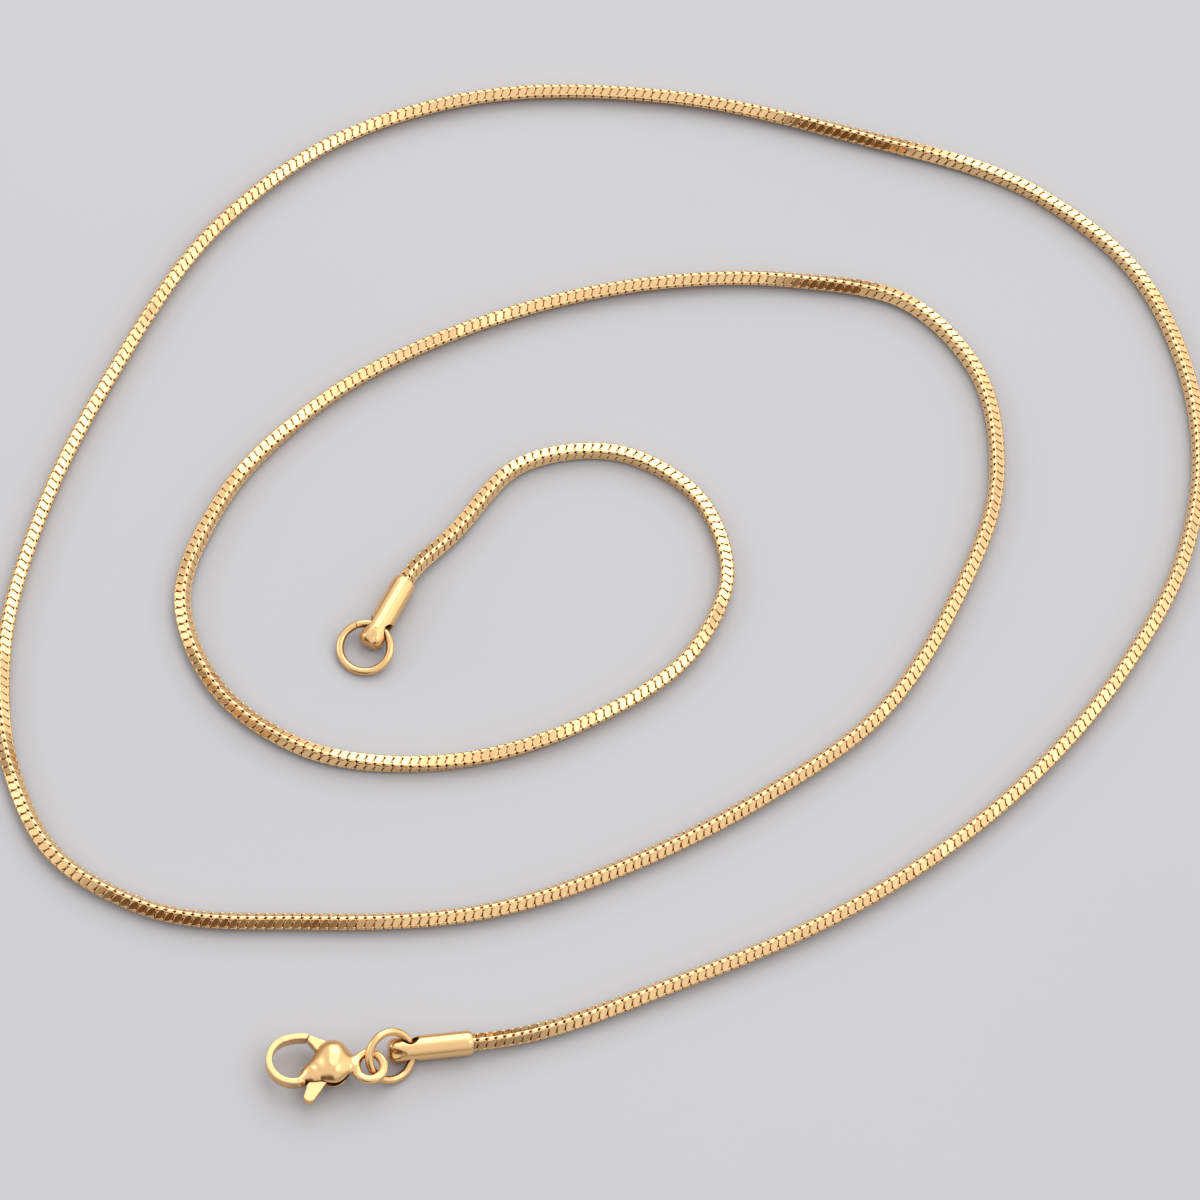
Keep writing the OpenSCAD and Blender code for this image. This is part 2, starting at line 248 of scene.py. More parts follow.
# Nets of the cast parts: lowest and highest corner of the space they search, and the width of a cell
CAP_NET = ((0, -CAP_R, -CAP_R), (CAP_LEN, CAP_R, CAP_R), 0.06)
CLASP_NET = ((-8.8, -1.9, -1.5), (1.55, 3.1, 1.5), 0.05)
LEVER_NET = ((-5.8, -3.6, -0.5), (-1.8, 3.1, 0.5), 0.045)

# Golds: colour, roughness, strength of the grain, and reach in millimetres of the painted shade that darkens
# hollows
LINK_GOLD = ((0.97, 0.66, 0.33), 0.14, 0.02, 1.1)
CAST_GOLD = ((0.93, 0.60, 0.28), 0.23, 0.03, 2.4)
# Uneven polish: its scale and detail, and its share of the colour and of the roughness from low to high
POLISH_SCALE = 900.0
POLISH_DETAIL = 3.0
POLISH_TONE = (0.94, 1.0)
POLISH_ROUGH = (0.75, 1.35)
# Painted shade in hollows: openness from fully shaded to unshaded, share of red, green and blue that stays in
# the shade, and samples
PAINTED_SHADE_OPEN = (0.15, 0.8)
PAINTED_SHADE_TONE = (0.42, 0.26, 0.14)
PAINTED_SHADE_SAMPLES = 6
# Grain: scale, and depth in metres
GRAIN_SCALE = 6000.0
GRAIN_DEPTH = 0.00002

# Studio: radiance of the room and of its horizon, and the height over which one turns into the other
ROOM = (0.94, 0.94, 0.95, 1)
HORIZON = (0.20, 0.17, 0.15, 1)
ROOM_FADE = (-0.05, 0.42)
# Patches of the surround: direction, cosine where it starts, cosine where it is full, radiance
ZONES = (
    ((-0.31, -0.91, 0.27), 0.83, 0.945, (0.14, 0.075, 0.03, 1)),
    ((0.57, -0.07, 0.82), 0.96, 0.99, (2.7, 2.65, 2.55, 1)),
    ((0.20, 0.32, 0.93), 0.965, 0.99, (1.5, 1.48, 1.44, 1)),
    ((-0.87, 0.27, 0.40), 0.93, 0.98, (2.3, 2.25, 2.15, 1)),
    ((0.35, 0.80, 0.48), 0.86, 0.97, (1.15, 1.13, 1.1, 1)),
    ((0.93, 0.15, 0.30), 0.86, 0.95, (1.3, 1.28, 1.24, 1)),
)
# Soft key light: direction, distance and side in metres, and power in watts
KEY_TOWARD = (0.15, 0.72, 0.68)
KEY_FAR = 0.9
KEY_SIZE = 0.75
KEY_POWER = 2.9
# Floor: side and drop in metres, roughness and shine, and its two tones with the scale of their cloud
FLOOR_SIZE = 3.0
FLOOR_DROP = 0.00002
FLOOR_ROUGH = 0.9
FLOOR_SHINE = 0.2
FLOOR_TONES = ((0.50, 0.50, 0.52, 1), (0.53, 0.53, 0.55, 1))
FLOOR_CLOUD = 40.0
# Sockets of a mix node for colours
MIX_LOW = 6
MIX_HIGH = 7
MIX_RESULT = 2


def unit(v):
    return v / np.linalg.norm(v, axis=-1, keepdims=True)


def heading(degrees):
    a = math.radians(degrees)
    return np.array([math.cos(a), math.sin(a), 0.0])


def route_speeds(route):
    """Speed at each row, near one: the same smooth curve as the part's source."""
    laps = np.linalg.norm(np.diff(route[:, :2], axis=0), axis=1)
    slopes = np.diff(route, axis=0) / laps[:, None]
    speeds = np.empty_like(route)
    speeds[0] = heading(CLASP_CAP_HEADING)
    speeds[-1] = -heading(RING_CAP_HEADING)
    before, after = laps[:-1, None], laps[1:, None]
    speeds[1:-1] = (slopes[:-1] * after + slopes[1:] * before) / (before + after)
    return laps, speeds


def smooth_step(t):
    t = np.clip(t, 0, 1)
    return t * t * (3 - 2 * t)


def chain_curve(samples=60):
    """Middle line of the chain with its lean: many close points along the route, in millimetres."""
    route = np.array(ROUTE, float)
    laps, speeds = route_speeds(route)
    rows = []
    for i, lap in enumerate(laps):
        t = (np.arange(samples) / samples)[:, None]
        rows.append(
            route[i] * (1 + 2 * t) * (1 - t) ** 2
            + route[i + 1] * (3 - 2 * t) * t ** 2
            + lap * (speeds[i] * t * (1 - t) ** 2 - speeds[i + 1] * t ** 2 * (1 - t))
        )
    rows.append(route[-1:])
    path = np.concatenate(rows)
    angles = np.array([90 * k + side * CORNER_A for k in range(4) for side in (-1, 1)])
    lowest = CORNER_R * np.cos(np.radians(angles[None] + path[:, 2:3])).max(axis=1)
    from_ends = np.minimum(
        np.linalg.norm(path[:, :2] - route[0, :2], axis=1),
        np.linalg.norm(path[:, :2] - route[-1, :2], axis=1),
    )
    height = CAP_R + (lowest - CAP_R) * smooth_step(from_ends / SETTLE_LEN)
    middle = np.column_stack([path[:, :2], height])
    start = middle[0] - CHAIN_IN * heading(CLASP_CAP_HEADING)
    finish = middle[-1] - CHAIN_IN * heading(RING_CAP_HEADING)
    middle = np.vstack([start, middle, finish])
    lean = np.concatenate([path[:1, 2], path[:, 2], path[-1:, 2]])
    return middle, lean


def bend_over(w, flat, top, bend_r):
    """Place across and outwards, and the turn, at a way w round the section from the middle of one side."""
    way = np.abs(w) - flat
    turn = np.clip(way / bend_r, 0, math.pi / 4)
    rest = np.maximum(way - bend_r * math.pi / 4, 0)
    across = np.minimum(np.abs(w), flat) + bend_r * np.sin(turn) + rest * math.cos(math.pi / 4)
    out = top - bend_r * (1 - np.cos(turn)) - rest * math.sin(math.pi / 4)
    return np.sign(w) * across, out, np.sign(w) * turn


def plate(size, layers, flat, top, bend_r):
    """Oval plate on one side of the section: points and normals as along, across and out, and its faces."""
    half_along, half_across, slant, power, count = size
    t = 2 * math.pi * np.arange(count) / count
    c = np.sign(np.cos(t)) * np.abs(np.cos(t)) ** (2 / power)
    s = np.sign(np.sin(t)) * np.abs(np.sin(t)) ** (2 / power)
    points, normals = [], []
    for in_along, in_across, depth, tilt in layers:
        w = (half_across - in_across) * s
        along = (half_along - in_along) * c + slant * w
        across, out, turn = bend_over(w, flat, top, bend_r)
        points.append(np.column_stack([along, across - depth * np.sin(turn), out - depth * np.cos(turn)]))
        edge = unit(np.column_stack([c / half_along, s / half_across - slant * c / half_along]))
        lean = math.radians(tilt)
        sideways, rise = edge[:, 1] * math.sin(lean), math.cos(lean)
        normals.append(np.column_stack([
            edge[:, 0] * math.sin(lean),
            sideways * np.cos(turn) + rise * np.sin(turn),
            rise * np.cos(turn) - sideways * np.sin(turn),
        ]))
    ahead = (np.arange(count) + 1) % count
    last = (len(layers) - 1) * count
    faces = [tuple(range(count)), tuple(last + i for i in reversed(range(count)))]
    for k in range(len(layers) - 1):
        low, high = k * count, (k + 1) * count
        faces += [(low + i, high + i, high + n, low + n) for i, n in enumerate(ahead)]
    return np.concatenate(points), np.concatenate(normals), faces


def link_ring():
    """The eight-sided ring under the plates, in the same form as a plate."""
    points, normals, faces = [], [], []
    deep = len(RING_LAYERS)
    for k in range(SIDES):
        a = math.radians(360 / SIDES * (k + 0.5))
        for along, depth in RING_LAYERS:
            points.append((along, (CORNER_OUT - depth) * math.sin(a), (CORNER_OUT - depth) * math.cos(a)))
            normals.append((0, math.sin(a), math.cos(a)))
        for j in range(deep):
            n, m = (k + 1) % SIDES, (j + 1) % deep
            faces.append((k * deep + j, k * deep + m, n * deep + m, n * deep + j))
    return np.array(points), np.array(normals), faces


def one_link():
    """Points, normals and faces of a link along +X, with one of its faces looking along +Y +Z."""
    shapes = [link_ring()]
    face = plate(FACE_PLATE, FACE_LAYERS, FACE_FLAT, FACE_OUT, FACE_BEND_R)
    corner = plate(CORNER_PLATE, CORNER_LAYERS, CORNER_FLAT, CORNER_OUT, CORNER_BEND_R)
    for k in range(SIDES):
        a = math.radians(360 / SIDES * k)
        c, s = math.cos(a), math.sin(a)
        turn = np.array([[1, 0, 0], [0, c, s], [0, -s, c]])
        points, normals, faces = corner if k % 2 == 0 else face
        shapes.append((points @ turn.T, normals @ turn.T, faces))
    faces, start = [], 0
    for points, _, polygons in shapes:
        faces += [tuple(start + i for i in polygon) for polygon in polygons]
        start += len(points)
    return np.concatenate([s[0] for s in shapes]), np.concatenate([s[1] for s in shapes]), faces


def chain_mesh(name, first, last, spots, frames, leans):
    """One mesh of the links from first to last."""
    points, normals, polygons = one_link()
    verts, outward, faces = [], [], []
    for n in range(first, last):
        tangent, left, up = frames[n]
        lean = math.radians(leans[n])
        side = math.cos(lean) * left - math.sin(lean) * up
        rise = math.sin(lean) * left + math.cos(lean) * up
        turn = np.column_stack([tangent, side, rise])
        verts.append(spots[n] + points @ turn.T)
        outward.append(normals @ turn.T)
        start = (n - first) * len(points)
        faces += [tuple(start + i for i in polygon) for polygon in polygons]
    mesh = bpy.data.meshes.new(name)
    mesh.from_pydata((np.concatenate(verts) * MM).tolist(), [], faces)
    mesh.shade_smooth()
    mesh.normals_split_custom_set_from_vertices(np.concatenate(outward).tolist())
    mesh.update()
    return mesh


def link_places():
    """Middle, frame and lean of every link, evenly spaced along the curve."""
    middle, lean = chain_curve()
    steps = np.linalg.norm(np.diff(middle, axis=0), axis=1)
    along = np.concatenate([[0], np.cumsum(steps)])
    count = int(along[-1] / PITCH)
    spare = along[-1] - (count - 1) * PITCH
    s = spare / 2 + np.arange(count) * PITCH

    def at(t):
        return np.column_stack([np.interp(t, along, middle[:, k]) for k in range(3)])

    spots = at(s)
    reach = PITCH / 2
    tangents = unit(at(np.minimum(s + reach, along[-1])) - at(np.maximum(s - reach, 0)))
    uneven = np.random.default_rng(UNEVEN_SEED).normal(scale=UNEVEN, size=(count, 3))
    tangents = unit(tangents + np.radians(uneven) * UNEVEN_SHARE)
    lefts = unit(np.column_stack([-tangents[:, 1], tangents[:, 0], np.zeros(count)]))
    ups = np.cross(tangents, lefts)
    leans = np.interp(s, along, lean) + uneven[:, 2]
    return spots, list(zip(tangents, lefts, ups)), leans


def blend_in(a, b, soft):
    """Join of two fields, with a fillet as wide as soft."""
    h = np.clip(0.5 + 0.5 * (b - a) / soft, 0, 1)
    return b + (a - b) * h - soft * h * (1 - h)


def cut_out(a, b, soft):
    """Field a with field b taken away, and the edge rounded."""
    return -blend_in(-a, b, soft)


def egg(x, y, z, at, radii, roll=0.0):
    """Distance to an ellipsoid, near its surface, turned about the X axis."""
    c, s = math.cos(math.radians(roll)), math.sin(math.radians(roll))
    u, v, w = x - at[0], y - at[1], z - at[2]
    v, w = v * c + w * s, w * c - v * s
    k0 = np.sqrt((u / radii[0]) ** 2 + (v / radii[1]) ** 2 + (w / radii[2]) ** 2) + 1e-9
    k1 = np.sqrt((u / radii[0] ** 2) ** 2 + (v / radii[1] ** 2) ** 2 + (w / radii[2] ** 2) ** 2) + 1e-9
    return k0 * (k0 - 1) / k1


def strand(x, y, z, start, end, flatten=1.0):
    """Distance to a tapering rod between two balls (x, y, z, radius), flattened or raised along Z."""
    a, b = np.array(start[:3], float), np.array(end[:3], float)
    d = b - a
    share = ((x - a[0]) * d[0] + (y - a[1]) * d[1] + (z - a[2]) * d[2]) / d.dot(d)
    share = np.clip(share, 0, 1)
    r = start[3] + (end[3] - start[3]) * share
    off = np.sqrt(
        (x - a[0] - d[0] * share) ** 2
        + (y - a[1] - d[1] * share) ** 2
        + ((z - a[2] - d[2] * share) / flatten) ** 2
    )
    return off - r


def slab(flat, z, half, edge):
    """A flat outline's field raised to a plate, with rounded edges."""
    u, w = flat + edge, np.abs(z) - half + edge
    return np.minimum(np.maximum(u, w), 0) + np.hypot(np.maximum(u, 0), np.maximum(w, 0)) - edge


def outline(x, y, corners):
    """Signed distance to a polygon, negative inside."""
    best = np.full_like(x, 1e9)
    inside = np.zeros(x.shape, bool)
    for (ax, ay), (bx, by) in zip(corners, corners[1:] + corners[:1]):
        ex, ey = bx - ax, by - ay
        t = np.clip(((x - ax) * ex + (y - ay) * ey) / (ex * ex + ey * ey), 0, 1)
        best = np.minimum(best, (x - ax - ex * t) ** 2 + (y - ay - ey * t) ** 2)
        crosses = (ay > y) != (by > y)
        inside ^= crosses & (x < ax + ex * (y - ay) / (ey if ey else 1e-9))
    return np.where(inside, -1.0, 1.0) * np.sqrt(best)


def skin(field, low, high, step):
    """Points, normals and faces of the surface where a field of x, y, z is zero, in millimetres."""
    axes = [np.arange(low[k] - 2 * step, high[k] + 3 * step, step) for k in range(3)]
    values = field(*np.meshgrid(*axes, indexing="ij"))
    cells = tuple(n - 1 for n in values.shape)
    total = np.zeros((math.prod(cells), 3))
    hits = np.zeros(math.prod(cells))
    quads = []
    for k in range(3):
        first = np.moveaxis(values, k, 0)[:-1]
        second = np.moveaxis(values, k, 0)[1:]
        crossing = (first < 0) != (second < 0)
        spots = np.argwhere(crossing)
        one, two = first[crossing], second[crossing]
        inward = one < 0
        order = [k] + [m for m in range(3) if m != k]
        index = np.empty_like(spots)
        index[:, order] = spots
        place = index.astype(float)
        place[:, k] += one / (one - two)
        p, q = (k + 1) % 3, (k + 2) % 3
        corner = []
        for dp, dq in ((-1, -1), (0, -1), (0, 0), (-1, 0)):
            cell = index.copy()
            cell[:, p] += dp
            cell[:, q] += dq
            flat = np.ravel_multi_index(tuple(cell.T), cells)
            np.add.at(total, flat, place)
            np.add.at(hits, flat, 1)
            corner.append(flat)
        ring = np.stack(corner, axis=1)
        quads.append(np.where(inward[:, None], ring, ring[:, ::-1]))
    used = np.flatnonzero(hits)
    number = np.full(len(hits), -1)
    number[used] = np.arange(len(used))
    spots = total[used] / hits[used, None]
    points = np.stack([axes[k][0] + step * spots[:, k] for k in range(3)], axis=1)
    tiny = 0.3 * step
    slope = np.empty_like(points)
    for k in range(3):
        ahead, behind = points.copy(), points.copy()
        ahead[:, k] += tiny
        behind[:, k] -= tiny
        slope[:, k] = field(*ahead.T) - field(*behind.T)
    return points, unit(slope), number[np.concatenate(quads)]


def place_skin(name, parts, at, turn):
    """A mesh of a skin turned by a matrix and moved to its place in millimetres."""
    points, normals, quads = parts
    mesh = bpy.data.meshes.new(name)
    mesh.from_pydata(((points @ turn.T + np.array(at)) * MM).tolist(), [], quads.tolist())
    mesh.shade_smooth()
    mesh.normals_split_custom_set_from_vertices((normals @ turn.T).tolist())
    mesh.update()
    return mesh


def arc_bar(x, y, z, mid, r, from_a, to_a, width, height, edge):
    """Field of a bar bent about mid, between two angles in degrees."""
    half = math.radians((to_a - from_a) / 2)
    facing = math.radians((to_a + from_a) / 2)
    u = (x - mid[0]) * math.cos(facing) + (y - mid[1]) * math.sin(facing)
    v = np.abs((y - mid[1]) * math.cos(facing) - (x - mid[0]) * math.sin(facing))
    radius = np.hypot(u, v)
    beyond = v * math.cos(half) - u * math.sin(half)
    flat = np.maximum(np.abs(radius - r) - width / 2, beyond)
    return slab(flat, z, height / 2, edge)


def past_seam(x, y):
    """How far a point lies on the hook's side of the seam between the gate and the hook's tip."""
    return (y - SEAM[1]) * math.cos(math.radians(SEAM_A)) - (x - SEAM[0]) * math.sin(math.radians(SEAM_A))


def clasp_field(x, y, z):
    """Body of the clasp about the middle of its tail eye, at half its height."""
    dome = egg(x, y, z, (*DOME, 0), DOME_RADII, DOME_ROLL)
    flank = blend_in(*[strand(x, y, z, ball, FLANK_END, ROD_FLATTEN) for ball in FLANK_BALLS], ROD_SOFT)
    flank = blend_in(flank, strand(x, y, z, *ROOT_BALLS), JOIN_SOFT)
    tail = blend_in(*[strand(x, y, z, ball, TAIL_END, ROD_FLATTEN) for ball in TAIL_BALLS], ROD_SOFT)
    body = blend_in(dome, blend_in(flank, tail, DOME_SOFT), DOME_SOFT)
    body = np.maximum(body, np.abs(z) - SHELL_HALF_H)
    from_pivot = np.hypot(x - PIVOT[0], y - PIVOT[1])
    lane = np.minimum(outline(x, y, SLOT_OUTLINE), from_pivot - SLOT_REACH)
    body = cut_out(body, slab(lane, z, SLOT_H / 2, SLOT_EDGE), SLOT_SOFT)
    around = np.hypot(x, y) - EYE_D / 2
    body = cut_out(body, around, EYE_SOFT)
    bar = arc_bar(x, y, z, BOW, HOOK_R, CROWN_A - BAR_PAST, ROOT_A, BAR_W, BAR_H, BAR_EDGE)
    tip_a = CROWN_A - TIP_SWEEP - TIP_SPARE
    tip = arc_bar(x, y, z, TIP_MID, TIP_R, tip_a, CROWN_A + TIP_PAST, BAR_W, BAR_H, BAR_EDGE)
    near_seam = np.hypot(x - SEAM[0], y - SEAM[1]) - SEAM_REACH
    gate_side = np.maximum(past_seam(x, y) - GATE_GAP / 2, near_seam)
    hook = cut_out(blend_in(bar, tip, BAR_SOFT), gate_side, SEAM_SOFT)
    body = blend_in(body, hook, JOIN_SOFT)
    inner = np.hypot(around - EYE_IN_R, z - EYE_LIFT) - EYE_IN_R
    outer = np.hypot(around - EYE_OUT_AT, z - EYE_LIFT + EYE_OUT_DROP) - EYE_OUT_R
    body = blend_in(body, blend_in(inner, outer, BEAD_SOFT), JOIN_SOFT)
    return np.minimum(body, np.maximum(from_pivot - PIN_D / 2, np.abs(z) - PIN_HALF_H))


def lever_field(x, y, z):
    """Gate, pivot boss and thumb tab, in the same place as the body's field."""
    level = np.zeros_like(x)
    flat = None
    for (*a, a_r), (*b, b_r) in zip(LEVER_PATH, LEVER_PATH[1:]):
        part = strand(x, y, level, (*a, 0, a_r), (*b, 0, b_r))
        flat = part if flat is None else blend_in(flat, part, LEVER_SOFT)
    lever = slab(flat, z, LEVER_T / 2, LEVER_EDGE)
    pin = np.hypot(x - PIVOT[0], y - PIVOT[1]) - PIN_D / 2 - PIN_CLEAR
    lever = cut_out(lever, pin, PIN_SOFT)
    return cut_out(lever, -past_seam(x, y) - GATE_GAP / 2, SEAM_SOFT)


def cap_field(x, y, z):
    """A cap along +X from its mouth, its cross hole along Y and its pinches on the Z sides."""
    around = np.hypot(y, z)
    lip = np.clip(1 - x / LIP_LEN, 0, 1)
    end = x - CAP_LEN + CAP_END_R
    wall = around - CAP_R + LIP_IN * (1 - np.sqrt(1 - lip ** 2)) + CAP_END_R
    corner = np.hypot(np.maximum(end, 0), np.maximum(wall, 0))
    body = np.minimum(np.maximum(end, wall), 0) + corner - CAP_END_R
    for side in (1, -1):
        start = (CAP_LEN - DENT_LEN, 0, side * (CAP_R + DENT_START[0]), DENT_START[1])
        finish = (CAP_LEN + DENT_PAST, 0, side * (CAP_R + DENT_END[0]), DENT_END[1])
        body = cut_out(body, strand(x, y, z, start, finish), DENT_SOFT)
    bore = np.maximum(around - CAP_BORE_R, x - (CAP_HOLE_AT + CAP_HOLE_D / 2))
    body = cut_out(cut_out(body, bore, BORE_SOFT), x, MOUTH_SOFT)
    return cut_out(body, np.hypot(x - CAP_HOLE_AT, z) - CAP_HOLE_D / 2, HOLE_SOFT)


def turned(x_deg, y_deg, z_deg):
    """Matrix of turns about X, then Y, then Z, as the part's source turns things."""
    turn = Matrix.Rotation(math.radians(z_deg), 3, "Z") @ Matrix.Rotation(math.radians(y_deg), 3, "Y")
    return np.array(turn @ Matrix.Rotation(math.radians(x_deg), 3, "X"))


def jump_ring(name, r, seam_deg, at, turn, along=144, around=24):
    """A round wire bent into a ring, whose two cut ends meet at a hairline seam."""
    gap = SEAM_GAP / r
    start = math.radians(seam_deg)
    angles = list(start + gap / 2 + (2 * math.pi - gap) * np.arange(along + 1) / along)
    chamfer = WIRE_CHAMFER / r
    end_r = WIRE_R - WIRE_CHAMFER
    stations = [(angles[0], 0.0), (angles[0], end_r), (angles[0] + chamfer, WIRE_R)]
    stations += [(a, WIRE_R) for a in angles[1:-1]]
    stations += [(angles[-1] - chamfer, WIRE_R), (angles[-1], end_r), (angles[-1], 0.0)]
    turns = 2 * math.pi * np.arange(around) / around
    rows = []
    for a, w in stations:
        out = r + w * np.cos(turns)
        rows.append(np.column_stack([out * math.cos(a), out * math.sin(a), w * np.sin(turns)]))
    points = np.concatenate(rows) @ turn.T + np.array(at)
    faces = []
    for i in range(len(stations) - 1):
        for j in range(around):
            n = (j + 1) % around
            faces.append((i * around + j, (i + 1) * around + j, (i + 1) * around + n, i * around + n))
    mesh = bpy.data.meshes.new(name)
    mesh.from_pydata((points * MM).tolist(), [], faces)
    mesh.validate()
    mesh.shade_smooth()
    mesh.set_sharp_from_angle(angle=math.radians(SEAM_SHARP_A))
    return mesh


def cap_turn(heading_deg, lean_deg):
    """Matrix of a cap whose closed end points away from its heading, rolled by its lean."""
    out = -heading(heading_deg)
    left = np.array([out[1], -out[0], 0.0])
    lean = math.radians(lean_deg)
    up = -math.sin(lean) * left + math.cos(lean) * np.array([0, 0, 1.0])
    return np.column_stack([out, np.cross(up, out), up])


def add_piece(name, mesh, body, material):
    piece = bpy.data.objects.new(name, mesh)
    bpy.context.scene.collection.objects.link(piece)
    mesh.materials.append(material)
    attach(piece, body)
    return piece


def new_material(name):
    """A new material, its node tree and its shader."""
    material = bpy.data.materials.new(name)
    material.use_nodes = True
    return material, material.node_tree, material.node_tree.nodes["Principled BSDF"]


def noise(tree, scale, place=None):
    """Node of a soft noise, on the coordinates of a socket or else on its own."""
    cloud = tree.nodes.new("ShaderNodeTexNoise")
    cloud.inputs["Scale"].default_value = scale
    if place is not None:
        tree.links.new(place, cloud.inputs["Vector"])
    return cloud


def remap(tree, value, low, high, to=(0, 1)):
    """Node that takes a socket's values between low and high to a range."""
    share = tree.nodes.new("ShaderNodeMapRange")
    share.inputs["From Min"].default_value = low
    share.inputs["From Max"].default_value = high
    share.inputs["To Min"].default_value, share.inputs["To Max"].default_value = to
    tree.links.new(value, share.inputs["Value"])
    return share


def mix_tones(tree, factor, low, high):
    """Socket of the tone between low and high, which are colours or sockets."""
    mix = tree.nodes.new("ShaderNodeMix")
    mix.data_type = "RGBA"
    tree.links.new(factor, mix.inputs["Factor"])
    for socket, value in ((mix.inputs[MIX_LOW], low), (mix.inputs[MIX_HIGH], high)):
        if isinstance(value, tuple):
            socket.default_value = value
        else:
            tree.links.new(value, socket)
    return mix.outputs[MIX_RESULT]


def gold(name, color, roughness, grain, shade_reach):
    """Polished gold-toned metal: uneven polish, a very fine bump, and painted shade that darkens the colour
    in hollows.
    """
    material, tree, shader = new_material(name)
    shader.inputs["Metallic"].default_value = 1.0
    place = tree.nodes.new("ShaderNodeTexCoord").outputs["Object"]
    cloud = noise(tree, POLISH_SCALE, place)
    cloud.inputs["Detail"].default_value = POLISH_DETAIL
    low, high = [(*[c * share for c in color], 1) for share in POLISH_TONE]
    tone = mix_tones(tree, cloud.outputs["Fac"], low, high)
    # Painted shade: ambient occlusion darkens the base colour to a deep tone in hollows, between parts and
    # near the floor, where shade falls
    open_sky = tree.nodes.new("ShaderNodeAmbientOcclusion")
    open_sky.inputs["Distance"].default_value = shade_reach * MM
    open_sky.samples = PAINTED_SHADE_SAMPLES
    unshaded_share = remap(tree, open_sky.outputs["AO"], *PAINTED_SHADE_OPEN)
    deep = (*[share * c for share, c in zip(PAINTED_SHADE_TONE, color)], 1)
    tone = mix_tones(tree, unshaded_share.outputs["Result"], deep, tone)
    tree.links.new(tone, shader.inputs["Base Color"])
    polish = remap(tree, cloud.outputs["Fac"], 0, 1, [roughness * share for share in POLISH_ROUGH])
    tree.links.new(polish.outputs["Result"], shader.inputs["Roughness"])
    bump = tree.nodes.new("ShaderNodeBump")
    bump.inputs["Strength"].default_value = grain
    bump.inputs["Distance"].default_value = GRAIN_DEPTH
    tree.links.new(noise(tree, GRAIN_SCALE, place).outputs["Fac"], bump.inputs["Height"])
    tree.links.new(bump.outputs["Normal"], shader.inputs["Normal"])
    return material


def floor():
    """Plain pale floor, just below the chain."""
    material, tree, shader = new_material("floor")
    shader.inputs["Roughness"].default_value = FLOOR_ROUGH
    shader.inputs["Specular IOR Level"].default_value = FLOOR_SHINE
    tone = mix_tones(tree, noise(tree, FLOOR_CLOUD).outputs["Fac"], *FLOOR_TONES)
    tree.links.new(tone, shader.inputs["Base Color"])
    bpy.ops.mesh.primitive_plane_add(size=FLOOR_SIZE, location=(0, 0, -FLOOR_DROP))
    plane = bpy.context.object
    plane.name = "floor"
    plane.data.materials.append(material)


def camera():
    data = bpy.data.cameras.new("camera")
    eye = bpy.data.objects.new("camera", data)
    bpy.context.scene.collection.objects.link(eye)
    right, up = Vector(CAMERA_RIGHT), Vector(CAMERA_UP)
    back = right.cross(up)
    turn = Matrix((right, up, back)).transposed().to_4x4()
    eye.matrix_world = Matrix.Translation(Vector(CAMERA_AT) * MM) @ turn
    data.sensor_width = SENSOR_W
    data.lens = SENSOR_W * FOCAL_PX / IMAGE_PX
    data.clip_start, data.clip_end = CLIP
    bpy.context.scene.camera = eye
    bpy.context.scene.view_settings.view_transform = "Standard"


def soft_light(name, toward, distance, size, power):
    """A square soft light that looks at the origin from a direction, at a distance in metres."""
    data = bpy.data.lights.new(name, "AREA")
    data.shape = "SQUARE"
    data.size = size
    data.energy = power
    lamp = bpy.data.objects.new(name, data)
    bpy.context.scene.collection.objects.link(lamp)
    spot = Vector(toward).normalized() * distance
    lamp.location = spot
    lamp.rotation_euler = spot.to_track_quat("Z", "Y").to_euler()


def near(tree, toward, from_cos, to_cos):
    """Socket that is 0 away from a direction of the surround and 1 near it."""
    place = tree.nodes.new("ShaderNodeTexCoord")
    dot = tree.nodes.new("ShaderNodeVectorMath")
    dot.operation = "DOT_PRODUCT"
    dot.inputs[1].default_value = Vector(toward).normalized()
    tree.links.new(place.outputs["Generated"], dot.inputs[0])
    step = remap(tree, dot.outputs["Value"], from_cos, to_cos)
    step.interpolation_type = "SMOOTHSTEP"
    return step.outputs["Result"]


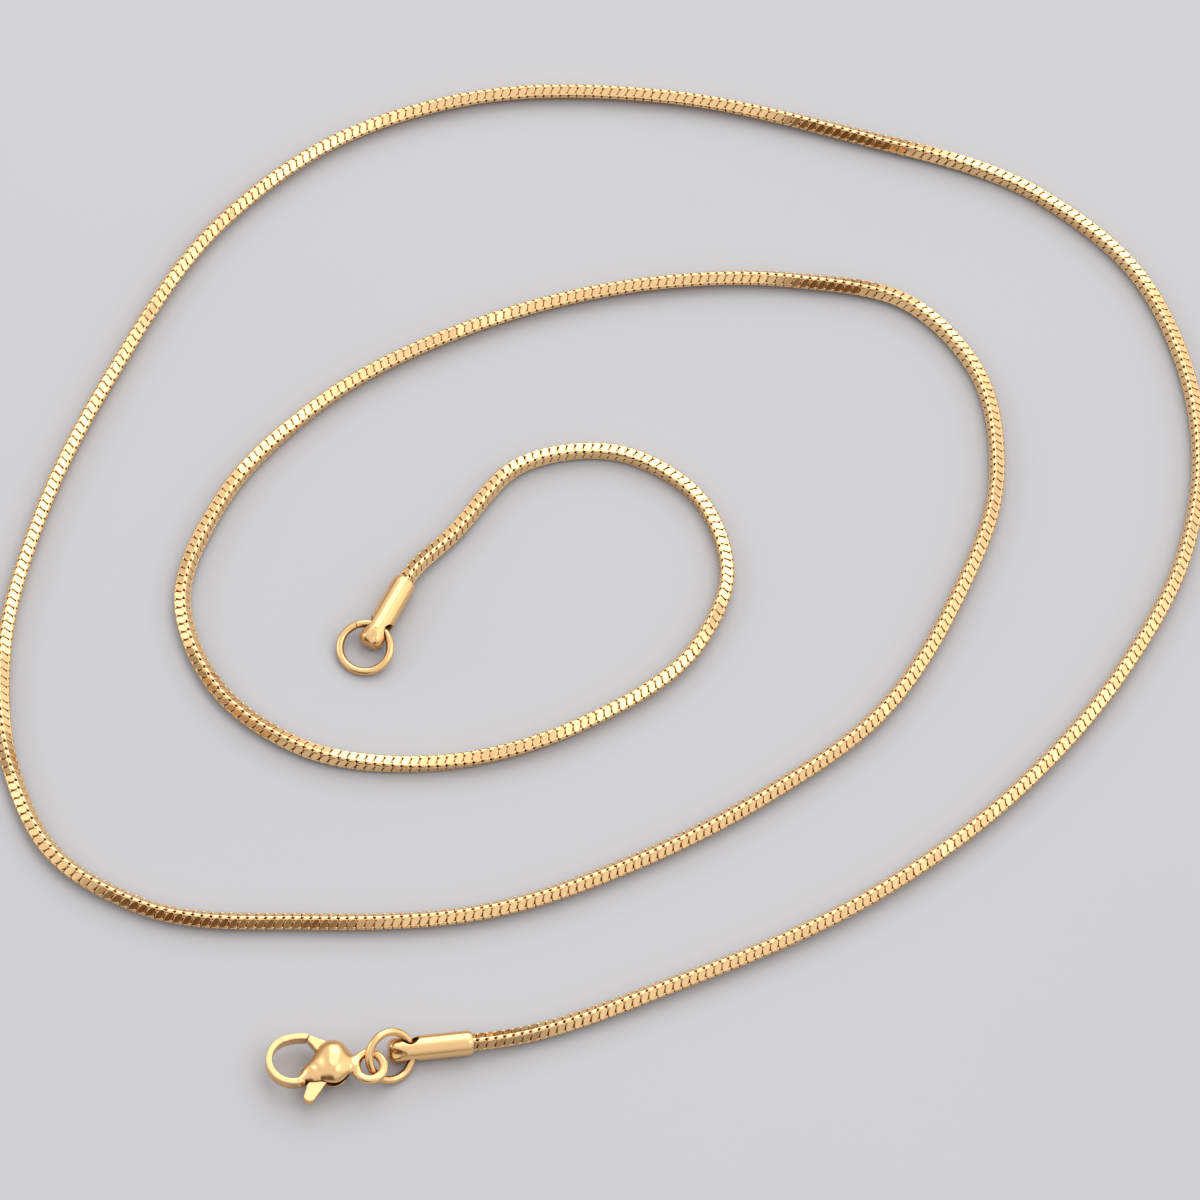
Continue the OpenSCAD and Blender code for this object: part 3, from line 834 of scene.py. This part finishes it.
def world():
    """Soft studio surround: an even bright room, patches brighter or darker than it, and a dimmer horizon."""
    surround = bpy.data.worlds.new("studio")
    surround.use_nodes = True
    bpy.context.scene.world = surround
    tree = surround.node_tree
    room = mix_tones(tree, near(tree, (0, 0, 1), *ROOM_FADE), HORIZON, ROOM)
    for toward, wide, core, glow in ZONES:
        room = mix_tones(tree, near(tree, toward, wide, core), room, glow)
    tree.links.new(room, tree.nodes["Background"].inputs["Color"])
    tree.nodes["Background"].inputs["Strength"].default_value = 1.0


def add_links(material):
    """The chain's links, in a few pieces one after another."""
    spots, frames, leans = link_places()
    cuts = [round(k * len(spots) / CHAIN_PIECES) for k in range(CHAIN_PIECES + 1)]
    for k in range(CHAIN_PIECES):
        links_mesh = chain_mesh(f"links_{k + 1}", cuts[k], cuts[k + 1], spots, frames, leans)
        run = add_piece(f"links_{k + 1}", links_mesh, "necklace", material)
        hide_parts("chain")


def cast_meshes():
    """Meshes of the caps, the clasp and the rings, by node."""
    cap = skin(cap_field, *CAP_NET)
    mouths = {
        "clasp_cap": (ROUTE[0], CLASP_CAP_HEADING, CLASP_CAP_LEAN),
        "ring_cap": (ROUTE[-1], RING_CAP_HEADING, 0),
    }
    meshes = {
        node: place_skin(node, cap, (row[0], row[1], CAP_R), cap_turn(facing, lean))
        for node, (row, facing, lean) in mouths.items()
    }
    for node, field, net in (("clasp_body", clasp_field, CLASP_NET), ("clasp_lever", lever_field, LEVER_NET)):
        meshes[node] = place_skin(node, skin(field, *net), CLASP_AT, np.eye(3))
    rings = {
        "clasp_ring": (CLASP_RING_R, CLASP_RING_SEAM, CLASP_RING_AT, CLASP_RING_TURN),
        "end_ring": (END_RING_R, END_RING_SEAM, END_RING_AT, END_RING_TURN),
    }
    for node, (r, seam, at, turn) in rings.items():
        meshes[node] = jump_ring(node, r, seam, at, turned(*turn))
    return meshes


camera()
floor()
world()
soft_light("key", KEY_TOWARD, KEY_FAR, KEY_SIZE, KEY_POWER)
link_gold = gold("link_gold", *LINK_GOLD)
cast_gold = gold("cast_gold", *CAST_GOLD)
add_links(link_gold)
for node, mesh in cast_meshes().items():
    piece = add_piece(f"{node}_cast", mesh, "lever" if node == "clasp_lever" else "necklace", cast_gold)
    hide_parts(node)
